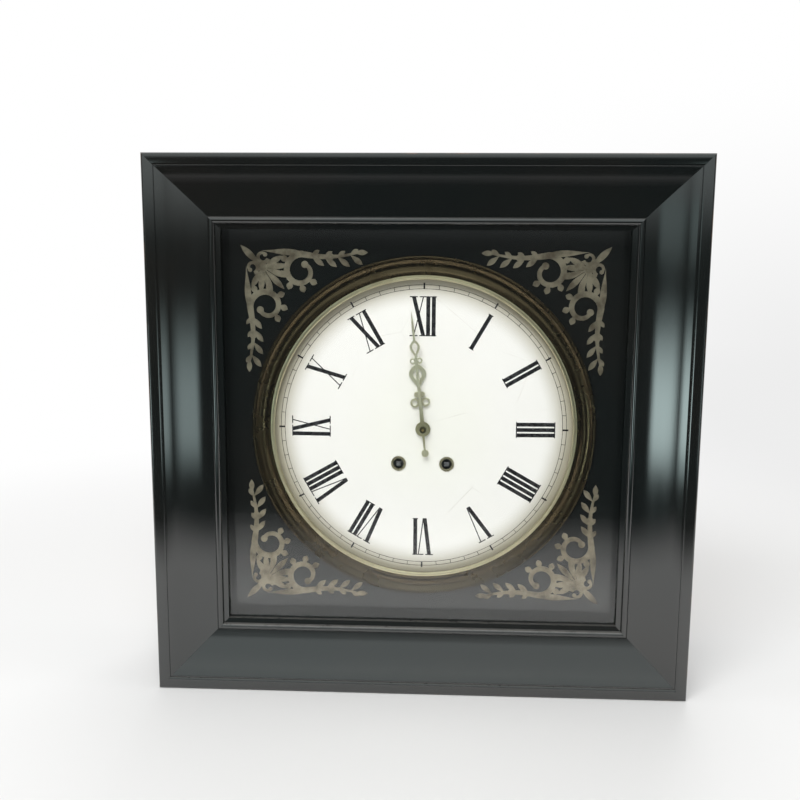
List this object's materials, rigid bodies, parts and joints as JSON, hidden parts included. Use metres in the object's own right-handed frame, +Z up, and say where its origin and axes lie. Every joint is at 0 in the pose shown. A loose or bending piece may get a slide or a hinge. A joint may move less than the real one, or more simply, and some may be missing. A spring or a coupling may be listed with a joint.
{
  "type": "square wall clock",
  "caption": "Square wall clock with a glazed moulded front door, inlaid panel, round enamel dial, striking spring movement, bell and short pendulum.",
  "frame": {"origin": "centre of the flat underside of the case, under the middle of the case without its door", "axes": "+Z up, -Y towards the viewer (the dial faces -Y), +X to the viewer's right"},
  "size_m": [0.4637, 0.1365, 0.46],
  "materials": {
    "ebonised_wood": "black French polish, glossy",
    "plain_wood": "plain planed softwood, aged",
    "inlay_brass": "tarnished brass and shell inlay",
    "dark_brass": "dark patinated brass",
    "gilt_brass": "pale gilt brass",
    "brass": "brushed clock brass",
    "bell_metal": "turned bell metal",
    "steel": "grained steel",
    "enamel": "white vitreous enamel on copper",
    "glass": "clear flat glass"
  },
  "bodies": {
    "case": {"case_top": "ebonised_wood", "case_bottom": "ebonised_wood", "case_left": "ebonised_wood", "case_right": "ebonised_wood", "panel_cleats": "plain_wood", "dial_panel": "ebonised_wood", "corner_ornaments": "inlay_brass", "dial_bezel": "dark_brass", "sight_ring": "gilt_brass", "dial": "enamel", "winding_grommets": "gilt_brass", "movement_bars": "steel", "wood_screws": "steel", "back_board": "plain_wood", "hanger_plate": "brass", "front_plate": "brass", "back_plate": "brass", "pillars": "brass", "plate_fasteners": "steel", "suspension_cock": "brass", "bell": "bell_metal", "bell_stand": "steel", "hinge_leaves_case": "brass", "catch_plate": "brass"},
    "front_door": {"door_rail_top": "ebonised_wood", "door_rail_bottom": "ebonised_wood", "door_stile_left": "ebonised_wood", "door_stile_right": "ebonised_wood", "door_glass": "glass", "glazing_beads": "ebonised_wood", "hinge_leaves_door": "brass", "catch_peg": "brass"},
    "back_door": {"back_door": "plain_wood", "hinge_leaves_back": "brass"},
    "turn_button": {"turn_button": "brass"},
    "hands_arbor": {"centre_arbor": "brass", "minute_hand": "gilt_brass", "hand_nut": "gilt_brass"},
    "hour_wheel": {"hour_wheel": "brass", "hour_hand": "gilt_brass"},
    "minute_wheel": {"minute_wheel": "brass"},
    "going_barrel": {"going_barrel": "brass"},
    "going_winding_arbor": {"going_winding_arbor": "steel"},
    "going_click": {"going_click": "steel"},
    "going_second_wheel": {"going_second_wheel": "brass"},
    "third_wheel": {"third_wheel": "brass"},
    "escape_wheel": {"escape_wheel": "brass"},
    "anchor": {"anchor": "steel"},
    "pendulum": {"suspension_spring": "steel", "pendulum_rod": "steel", "pendulum_bob": "brass"},
    "strike_barrel": {"strike_barrel": "brass"},
    "strike_winding_arbor": {"strike_winding_arbor": "steel"},
    "strike_click": {"strike_click": "steel"},
    "strike_second_wheel": {"strike_second_wheel": "brass", "count_wheel": "brass"},
    "pin_wheel": {"pin_wheel": "brass"},
    "locking_wheel": {"locking_wheel": "brass"},
    "fly": {"fly": "brass"},
    "hammer": {"hammer": "steel"}
  },
  "joints": [
    {"name": "front_door_hinge", "type": "hinge", "parent": "case", "child": "front_door", "pos_m": [0.2319, -0.05025, 0.23], "axis": [0, 0, 1], "range_deg": [0, 170]},
    {"name": "back_door_hinge", "type": "hinge", "parent": "case", "child": "back_door", "pos_m": [0.10025, 0.0502, 0.21], "axis": [0, 0, -1], "range_deg": [0, 110]},
    {"name": "button_turn", "type": "hinge", "parent": "case", "child": "turn_button", "pos_m": [-0.109, 0.05, 0.21], "axis": [0, 1, 0], "range_deg": [0, 90]},
    {"name": "hands_turn", "type": "hinge", "parent": "case", "child": "hands_arbor", "pos_m": [0, -0.0115, 0.23], "axis": [0, 1, 0], "continuous": true},
    {"name": "hour_turn", "type": "hinge", "parent": "case", "child": "hour_wheel", "pos_m": [0, -0.0115, 0.23], "axis": [0, 1, 0], "continuous": true},
    {"name": "minute_wheel_turn", "type": "hinge", "parent": "case", "child": "minute_wheel", "pos_m": [0, -0.037, 0.25], "axis": [0, 1, 0], "continuous": true},
    {"name": "going_barrel_turn", "type": "hinge", "parent": "case", "child": "going_barrel", "pos_m": [0.021, -0.0115, 0.199], "axis": [0, 1, 0], "continuous": true},
    {"name": "going_second_turn", "type": "hinge", "parent": "case", "child": "going_second_wheel", "pos_m": [0.01979, -0.0115, 0.22297], "axis": [0, 1, 0], "continuous": true},
    {"name": "third_turn", "type": "hinge", "parent": "case", "child": "third_wheel", "pos_m": [0.00793, -0.0115, 0.24781], "axis": [0, 1, 0], "continuous": true},
    {"name": "escape_turn", "type": "hinge", "parent": "case", "child": "escape_wheel", "pos_m": [-0.00664, -0.0115, 0.25556], "axis": [0, 1, 0], "continuous": true},
    {"name": "pendulum_swing", "type": "hinge", "parent": "case", "child": "pendulum", "pos_m": [0, 0.018, 0.27], "axis": [0, 1, 0], "range_deg": [-3.5, 3.5]},
    {"name": "anchor_swing", "type": "hinge", "parent": "case", "child": "anchor", "pos_m": [0, -0.0115, 0.27], "axis": [0, 1, 0], "range_deg": [-3.5, 3.5]},
    {"name": "going_winding", "type": "hinge", "parent": "case", "child": "going_winding_arbor", "pos_m": [0.021, -0.0115, 0.199], "axis": [0, 1, 0], "continuous": true},
    {"name": "going_click_lift", "type": "hinge", "parent": "case", "child": "going_click", "pos_m": [0.03452, -0.036, 0.20262], "axis": [0, 1, 0], "range_deg": [0, 12], "stiffness_Nm_per_rad": 0.01},
    {"name": "pin_wheel_turn", "type": "hinge", "parent": "case", "child": "pin_wheel", "pos_m": [-0.02979, -0.0115, 0.24029], "axis": [0, 1, 0], "continuous": true},
    {"name": "strike_barrel_turn", "type": "hinge", "parent": "case", "child": "strike_barrel", "pos_m": [-0.021, -0.0115, 0.199], "axis": [0, 1, 0], "continuous": true},
    {"name": "strike_second_turn", "type": "hinge", "parent": "case", "child": "strike_second_wheel", "pos_m": [-0.01979, -0.0115, 0.22297], "axis": [0, 1, 0], "continuous": true},
    {"name": "locking_turn", "type": "hinge", "parent": "case", "child": "locking_wheel", "pos_m": [-0.02552, -0.0115, 0.25623], "axis": [0, 1, 0], "continuous": true},
    {"name": "fly_turn", "type": "hinge", "parent": "case", "child": "fly", "pos_m": [-0.02317, -0.0115, 0.26952], "axis": [0, 1, 0], "continuous": true},
    {"name": "strike_winding", "type": "hinge", "parent": "case", "child": "strike_winding_arbor", "pos_m": [-0.021, -0.0115, 0.199], "axis": [0, 1, 0], "continuous": true},
    {"name": "strike_click_lift", "type": "hinge", "parent": "case", "child": "strike_click", "pos_m": [-0.03452, -0.036, 0.20262], "axis": [0, 1, 0], "range_deg": [-12, 0], "stiffness_Nm_per_rad": 0.01},
    {"name": "hammer_lift", "type": "hinge", "parent": "case", "child": "hammer", "pos_m": [-0.052, -0.0115, 0.245], "axis": [0, 1, 0], "range_deg": [-12, 0]}
  ],
  "couplings": [
    {"joint": "hour_turn", "follows": "hands_turn", "ratio": 0.083333},
    {"joint": "minute_wheel_turn", "follows": "hands_turn", "ratio": -0.33333},
    {"joint": "going_second_turn", "follows": "hands_turn", "ratio": -0.16667},
    {"joint": "going_barrel_turn", "follows": "hands_turn", "ratio": 0.033333},
    {"joint": "third_turn", "follows": "hands_turn", "ratio": -12},
    {"joint": "escape_turn", "follows": "hands_turn", "ratio": 120},
    {"joint": "anchor_swing", "follows": "pendulum_swing", "ratio": 1},
    {"joint": "strike_second_turn", "follows": "pin_wheel_turn", "ratio": -0.11111},
    {"joint": "strike_barrel_turn", "follows": "pin_wheel_turn", "ratio": 0.022222},
    {"joint": "locking_turn", "follows": "pin_wheel_turn", "ratio": -10},
    {"joint": "fly_turn", "follows": "pin_wheel_turn", "ratio": 80}
  ]
}
